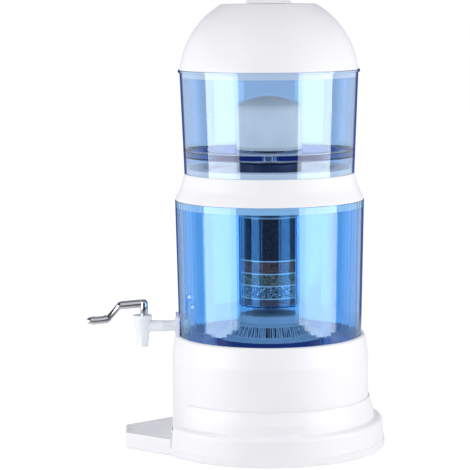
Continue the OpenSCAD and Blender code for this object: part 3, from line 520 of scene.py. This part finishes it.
    def softbox(self, stage, side):
        """A tall strip softbox at one side of the camera, soft along its inner edge and never seen itself."""
        hand = "left" if side < 0 else "right"
        fade = self.FADE + side * self.FADE_LEAN
        bpy.ops.object.select_all(action="DESELECT")
        bpy.ops.mesh.primitive_plane_add(size=1.0)
        box = bpy.context.object
        box.name = f"stage_softbox_{hand}"
        turn = Matrix.Rotation(stage.azimuth + side * math.radians(self.ROUND), 4, "Z")
        stand = Matrix.Translation((-side * fade / 2, -self.REACH, self.TALL / 2 + self.LIFT))
        upright = Matrix.Rotation(math.radians(-90), 4, "X")
        box.data.transform(turn @ stand @ upright @ Matrix.Diagonal((self.WIDTH + fade, self.TALL, 1, 1)))
        material, tree = blank_material(f"Softbox cloth {hand}")
        straight, mirrored = sight(tree)
        coordinates = add_node(tree, "ShaderNodeTexCoord").outputs
        up = add_node(tree, "ShaderNodeSeparateXYZ", {0: coordinates["Object"]}).outputs["Z"]
        low = add_node(tree, "ShaderNodeMapRange", {
            "Value": up, "From Min": self.MIRRORED_TO[0], "From Max": self.MIRRORED_TO[1],
            "To Min": stage.gleam, "To Max": self.MIRRORED_REST})
        level = add_node(tree, "ShaderNodeMix", {
            "Factor": mirrored, "A": stage.lamp, "B": low.outputs["Result"]}, data_type="FLOAT")
        across = add_node(tree, "ShaderNodeSeparateXYZ", {0: coordinates["UV"]}).outputs["X"]
        inner, outer = (0.0, 1.0) if side > 0 else (1.0, 0.0)
        from_edge = add_node(tree, "ShaderNodeMapRange", {"Value": across, "To Min": inner, "To Max": outer})
        cloth = add_node(tree, "ShaderNodeValToRGB", {"Fac": from_edge.outputs["Result"]}, self.CLOTH)
        glow = add_node(tree, "ShaderNodeEmission", {
            "Color": cloth.outputs["Color"], "Strength": level.outputs["Result"]})
        nothing = add_node(tree, "ShaderNodeBsdfTransparent")
        mixed = add_node(tree, "ShaderNodeMixShader", {
            0: straight, 1: glow.outputs[0], 2: nothing.outputs[0]})
        add_node(tree, "ShaderNodeOutputMaterial", {"Surface": mixed.outputs[0]})
        box.data.materials.append(material)
        box.visible_camera = False

    def camera(self, context, stage):
        """A long lens level with the knob's top, turned, tilted and leaned as the settings say."""
        data = bpy.data.cameras.new("Camera")
        camera = bpy.data.objects.new("Camera", data)
        context.scene.collection.objects.link(camera)
        data.lens = stage.focal
        data.sensor_width = 36.0
        level = Vector((-math.sin(stage.yaw), math.cos(stage.yaw), 0))
        forward = level * math.cos(stage.pitch) + Vector((0, 0, -math.sin(stage.pitch)))
        right = Vector((math.cos(stage.yaw), math.sin(stage.yaw), 0))
        up = right.cross(forward)
        lean, rise = math.sin(stage.roll), math.cos(stage.roll)
        right, up = right * rise - up * lean, right * lean + up * rise
        aim = Matrix((right, up, -forward)).transposed().to_4x4()
        place = Matrix.Translation((0, -stage.distance, stage.height)) @ aim
        camera.matrix_world = Matrix.Rotation(stage.azimuth, 4, "Z") @ place
        context.scene.camera = camera


class FILTER_OT_shells(bpy.types.Operator):
    """Finishes the white mouldings, the feet and the fasteners"""

    bl_idname = "water_filter.shells"
    bl_label = "White mouldings"

    def execute(self, context):
        finish = context.scene.water_filter_finish
        dress(("lid", "knob", "mid_ring", "stand", "base_collar", "base_plate"),
              glossy_abs("Glossy white ABS", finish.shell, finish.shell_tint, finish.shell_roughness))
        dress(("feet",), moulded_rubber("Dark foot rubber", "#1b1b1d", "#262628", roughness=0.7))
        dress(("base_screws", "knob_screw", "lever_pin"), zinc_steel("Zinc-plated steel"))
        return {"FINISHED"}


class FILTER_OT_tanks(bpy.types.Operator):
    """Finishes the clear tanks"""

    bl_idname = "water_filter.tanks"
    bl_label = "Clear tanks"

    def execute(self, context):
        finish = context.scene.water_filter_finish
        dress(("lower_tank",), clear_styrene(
            "Clear blue styrene", finish.lower_skin, finish.lower_tint, finish.lower_density))
        dress(("upper_tank",), clear_styrene(
            "Clear pale blue styrene", finish.upper_skin, finish.upper_tint, finish.upper_density))
        return {"FINISHED"}


class FILTER_OT_filters(bpy.types.Operator):
    """Finishes the ceramic dome, the cartridge with its media and the stone case"""

    bl_idname = "water_filter.filters"
    bl_label = "Filters and media"

    def execute(self, context):
        self.dome()
        self.cartridge()
        self.stone_case()
        return {"FINISHED"}

    def dome(self):
        """The ceramic dome, its base and nut with the valve's plunger, and the black seals."""
        dress(("ceramic_dome",), porous_ceramic("Unglazed porous ceramic", "#f5f5f3", "#eaeae6"))
        dress(("dome_base", "wing_nut", "valve_plunger"),
              glossy_abs("Natural acetal", "#dededb", "#d8d8d4", roughness=0.45))
        dress(("dome_gasket", "stem_seal", "valve_seat_plug"),
              moulded_rubber("Black seal rubber", "#18181a", "#222225", roughness=0.6))

    def cartridge(self):
        """The cap, the clear housing and the media from the top down, with their mesh discs."""
        dress(("cartridge_cap",),
              glossy_abs("Dark blue polypropylene", "#1c2c58", "#1a284f", roughness=0.35))
        dress(("cartridge_housing",),
              clear_styrene("Clear cartridge styrene", "#ffffff", "#a0d4f8", density=60.0))
        dress(("carbon_layer", "dome_carbon"),
              granules("Granular coconut carbon", 1.6, ("#1e1822", "#362c3c", "#524856"),
                       depth_mm=0.6, roughness=0.6))
        dress(("ceramic_ball_layer",),
              granules("Red-brown ceramic balls", 4.0, ("#93594b", "#ac6a55", "#764c44"),
                       depth_mm=1.6, roughness=0.75, jumble=0.35))
        dress(("zeolite_layer",),
              granules("Zeolite grains", 2.8, ("#8a7c69", "#a8977b", "#b39d78", "#655b4e"),
                       depth_mm=1.2, roughness=0.8))
        dress(("mineral_layer",),
              granules("Speckled mineral sand", 1.9, ("#39414f", "#5d6574", "#f2f4f6", "#343c4a", "#dfe4ea"),
                       depth_mm=1.0, roughness=0.7))
        dress(("silica_layer",),
              granules("Fine silica sand", 1.6, ("#86666c", "#9d7c80", "#6d545c"),
                       depth_mm=0.6, roughness=0.8))
        dress(("mesh_discs",), felt_pad("White polyester felt"))

    def stone_case(self):
        """The slate blue dish, its frosted slotted cover and the pebbles in it."""
        dress(("stone_case_base",),
              glossy_abs("Slate blue polypropylene", "#2b4388", "#273e80", roughness=0.4))
        dress(("stone_case_cover",),
              glossy_abs("Frosted white polypropylene", "#b7c1d3", "#b1bccf", roughness=0.45))
        dress(("mineral_stones",), tumbled_stone("Tumbled mineral pebbles"))


class FILTER_OT_tap(bpy.types.Operator):
    """Finishes the tap"""

    bl_idname = "water_filter.tap"
    bl_label = "Tap"

    def execute(self, context):
        dress(("tap_body", "tap_bonnet", "tap_nut"),
              glossy_abs("Glossy tap plastic", "#eef1f6", "#e8edf4", roughness=0.3))
        dress(("tap_washer", "tap_gasket"),
              moulded_rubber("Pale silicone", "#d5dadf", "#dfe3e7", roughness=0.5))
        return {"FINISHED"}


class FILTER_OT_small_parts(bpy.types.Operator):
    """Models the flange round the tank's boss and the valve's coil spring"""

    bl_idname = "water_filter.small_parts"
    bl_label = "Flange and spring"

    # Corners of the flange, its wall, and the hole that clears the tap's washer, in millimetres
    CUP_LOW, CUP_HIGH, CUP_WALL = (-24.0, -123.3, 147.4), (24.0, -118.2, 171.9), 0.9
    HOLE_R, HOLE_DEPTH, SHANK_Z = 10.6, 6.0, 157.5
    # The valve's axis, the radii of the coil and its wire, and the levels of its ends, in millimetres
    VALVE_Y, COIL_R, WIRE_R, COIL_LOW, COIL_HIGH = -166.6, 5.6, 0.45, 155.45, 165.75
    # Turns of the coil, rings in each turn and sides of the wire
    TURNS, RINGS, SIDES = 4, 24, 10

    def execute(self, context):
        self.flange()
        self.spring()
        return {"FINISHED"}

    def flange(self):
        """A thin moulded cup over the boss, open towards the tank, with a hole for the washer."""
        front, back = self.CUP_LOW[1], self.CUP_HIGH[1]
        cup = block("tap_flange", self.CUP_LOW, self.CUP_HIGH)
        bpy.ops.object.mode_set(mode="EDIT")
        bpy.ops.mesh.select_all(action="DESELECT")
        mesh = bmesh.from_edit_mesh(cup.data)
        for face in mesh.faces:
            face.select = face.normal.y > 0.9
        bmesh.update_edit_mesh(cup.data)
        bpy.ops.mesh.inset(thickness=self.CUP_WALL * MM)
        bpy.ops.mesh.extrude_region_move()
        bpy.ops.transform.translate(value=(0, (front - back + self.CUP_WALL) * MM, 0))
        bpy.ops.mesh.select_all(action="SELECT")
        bpy.ops.mesh.normals_make_consistent(inside=False)
        bpy.ops.object.mode_set(mode="OBJECT")
        bpy.ops.object.select_all(action="DESELECT")
        bpy.ops.mesh.primitive_cylinder_add(
            vertices=64, radius=self.HOLE_R * MM, depth=self.HOLE_DEPTH * MM,
            rotation=(math.pi / 2, 0, 0), location=(0, front * MM, self.SHANK_Z * MM))
        cut_out(cup, bpy.context.object)
        soften(cup, width_mm=0.3, angle=40)
        bpy.ops.object.shade_smooth_by_angle(angle=math.radians(35))
        clad(cup, glossy_abs("Milky polypropylene flange", "#e3e3f1", "#dcdcec", roughness=0.35))
        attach(cup, "lower_vessel")

    def spring(self):
        """A coil of round wire between the plug and the stem seal."""
        length = self.COIL_HIGH - self.COIL_LOW
        slope = math.atan(length / (self.TURNS * math.tau * self.COIL_R))
        outwards = Matrix.Translation((self.COIL_R * MM, 0, 0))
        along = Matrix.Rotation(math.pi / 2 - slope, 4, "X")
        thick = Matrix.Diagonal((self.WIRE_R * MM, self.WIRE_R * MM, 1, 1))
        stations = []
        for i in range(self.TURNS * self.RINGS + 1):
            share = i / (self.TURNS * self.RINGS)
            rise = Matrix.Translation((0, self.VALVE_Y * MM, (self.COIL_LOW + length * share) * MM))
            turn = Matrix.Rotation(math.tau * self.TURNS * share, 4, "Z")
            stations.append(rise @ turn @ outwards @ along @ thick)
        coil = swept("valve_spring_coil", round_section(self.SIDES), stations)
        bpy.ops.object.shade_smooth_by_angle(angle=math.radians(50))
        clad(coil, zinc_steel("Zinc-plated spring wire"))
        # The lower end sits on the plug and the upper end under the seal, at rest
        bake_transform(coil)
        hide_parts("valve_spring")


class FILTER_OT_lever(bpy.types.Operator):
    """Models the cranked chrome lever: a barrel head on the valve's rod, an arm, a crank and a thumb grip"""

    bl_idname = "water_filter.lever"
    bl_label = "Chrome lever"

    # Places are in the plane of the tap in millimetres: distance from the vessel's axis, level
    UPPER, LOWER = (196.03, 184.90), (211.43, 167.40)
    # Slope of the arms and of the crank in degrees, and the radius of the bends between them
    FALL, STEEP, BEND_R = -5.0, -48.65, 5.2
    # Half width and half thickness of the arms and of the crank
    ARM, CRANK = (5.5, 5.0), (5.17, 3.7)
    # Rings as place, slope, half width and half thickness: out of the head, and along the grip to its tip
    ROOT = (((166.3, 187.5), FALL, 4.9, 4.3), ((168.8, 187.28), FALL, 5.45, 4.95))
    GRIP = (((216.6, 166.62), FALL, 5.5, 4.75), ((218.6, 166.28), FALL, 5.5, 4.6),
            ((226.0, 165.63), FALL, 5.5, 4.6), ((228.6, 165.6), FALL, 5.5, 4.8),
            ((231.5, 165.5), FALL - 3, 5.5, 4.9), ((234.6, 165.0), FALL - 12, 5.3, 4.5),
            ((236.8, 164.5), FALL - 20, 4.9, 3.8), ((238.0, 164.15), FALL - 20, 4.2, 2.8),
            ((238.6, 163.95), FALL - 20, 3.2, 1.8), ((238.8, 163.9), FALL - 20, 1.9, 0.8))
    # Across the arm from its middle and up from its centreline, in halves of its width and thickness
    SECTION = ((0.36, 1), (0.74, 0.68), (1, 0.08), (1, -0.12), (0.8, -0.9), (0.7, -1),
               (-0.7, -1), (-0.8, -0.9), (-1, -0.12), (-1, 0.08), (-0.74, 0.68), (-0.36, 1))
    HEAD_AXIS = 164.65
    # Level and half widths along X and Y of the head's rings
    HEAD = ((172.0, 4.6, 4.6), (172.3, 4.9, 4.9), (173.9, 4.9, 4.9), (174.5, 5.6, 5.1), (175.1, 5.8, 5.25),
            (187.2, 5.8, 5.25), (188.9, 5.55, 5.0), (190.4, 4.85, 4.35), (191.5, 3.6, 3.2),
            (192.15, 2.0, 1.8), (192.4, 0.5, 0.45))
    HEAD_SIDES = 40
    # Corners of the slot for the valve's rod, which runs out towards the grip
    SLOT_LOW, SLOT_HIGH = (-2.75, -171.0, 171.0), (2.75, -161.9, 180.6)

    @staticmethod
    def station(place, tilt, half_w, half_h):
        """Where a ring of the arm lies, in metres, from its centre, slope, and half its width and height."""
        run, rise = math.cos(math.radians(tilt)), math.sin(math.radians(tilt))
        turn = Matrix(((1, 0, 0), (0, rise, -run), (0, run, rise))).to_4x4()
        size = Matrix.Diagonal((half_w * MM, half_h * MM, 1, 1))
        return Matrix.Translation((0, -place[0] * MM, place[1] * MM)) @ turn @ size

    @classmethod
    def bend(cls, corner, slopes, halves, steps=6):
        """Rings round a bend at a corner, between two slopes and two (half width, half thickness)."""
        first, last = (math.radians(slope) for slope in slopes)
        radius = math.copysign(cls.BEND_R, last - first)
        reach = cls.BEND_R * math.tan(abs(last - first) / 2)
        centre = (corner[0] - reach * math.cos(first) - radius * math.sin(first),
                  corner[1] - reach * math.sin(first) + radius * math.cos(first))
        rings = []
        for i in range(steps + 1):
            share = i / steps
            slope = first + (last - first) * share
            place = (centre[0] + radius * math.sin(slope), centre[1] - radius * math.cos(slope))
            half = [p + (q - p) * share for p, q in zip(*halves)]
            rings.append((place, math.degrees(slope), *half))
        return rings

    def execute(self, context):
        lever = self.arm()
        head = self.head()
        select_only(lever, head)
        bpy.ops.object.join()
        bpy.ops.object.shade_smooth_by_angle(angle=math.radians(32))
        clad(lever, bright_chrome("Polished chrome plating"))
        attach(lever, "lever")
        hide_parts("tap_lever")
        return {"FINISHED"}

    def arm(self):
        """The arm from the head over both bends to the tip of the grip, with softened edges."""
        rings = [*self.ROOT, *self.bend(self.UPPER, (self.FALL, self.STEEP), (self.ARM, self.CRANK)),
                 *self.bend(self.LOWER, (self.STEEP, self.FALL), (self.CRANK, self.ARM)), *self.GRIP]
        arm = swept("tap_lever_chrome", self.SECTION, [self.station(*ring) for ring in rings])
        soften(arm, width_mm=0.3, angle=25)
        return arm

    def head(self):
        """The barrel head, slotted for the valve's rod."""
        axis = Matrix.Translation((0, -self.HEAD_AXIS * MM, 0))
        head = swept("lever_head", round_section(self.HEAD_SIDES), [
            axis @ Matrix.Translation((0, 0, z * MM)) @ Matrix.Diagonal((x * MM, y * MM, 1, 1))
            for z, x, y in self.HEAD])
        cut_out(head, block("rod_slot", self.SLOT_LOW, self.SLOT_HIGH))
        return head


class FILTER_PT_panel(bpy.types.Panel):
    """Lists the filter's operators and settings"""

    bl_label = "Water filter"
    bl_idname = "FILTER_PT_panel"
    bl_space_type = "VIEW_3D"
    bl_region_type = "UI"
    bl_category = "Water filter"

    def draw(self, context):
        for operator in OPERATORS:
            self.layout.operator(operator.bl_idname)
        for group in (context.scene.water_filter_finish, context.scene.water_filter_stage):
            for name in group.__annotations__:
                self.layout.prop(group, name)


OPERATORS = (FILTER_OT_stage, FILTER_OT_shells, FILTER_OT_tanks, FILTER_OT_filters, FILTER_OT_tap,
             FILTER_OT_small_parts, FILTER_OT_lever)
CLASSES = (WaterFilterFinish, WaterFilterStage, *OPERATORS, FILTER_PT_panel)


def register():
    for cls in CLASSES:
        bpy.utils.register_class(cls)
    bpy.types.Scene.water_filter_finish = bpy.props.PointerProperty(type=WaterFilterFinish)
    bpy.types.Scene.water_filter_stage = bpy.props.PointerProperty(type=WaterFilterStage)


def unregister():
    del bpy.types.Scene.water_filter_stage
    del bpy.types.Scene.water_filter_finish
    for cls in reversed(CLASSES):
        bpy.utils.unregister_class(cls)


def main():
    """Builds everything in order."""
    register()
    bpy.ops.object.select_all(action="DESELECT")
    bpy.ops.water_filter.stage()
    bpy.ops.water_filter.shells()
    bpy.ops.water_filter.tanks()
    bpy.ops.water_filter.filters()
    bpy.ops.water_filter.tap()
    bpy.ops.water_filter.small_parts()
    bpy.ops.water_filter.lever()


if __name__ == "__main__":
    main()
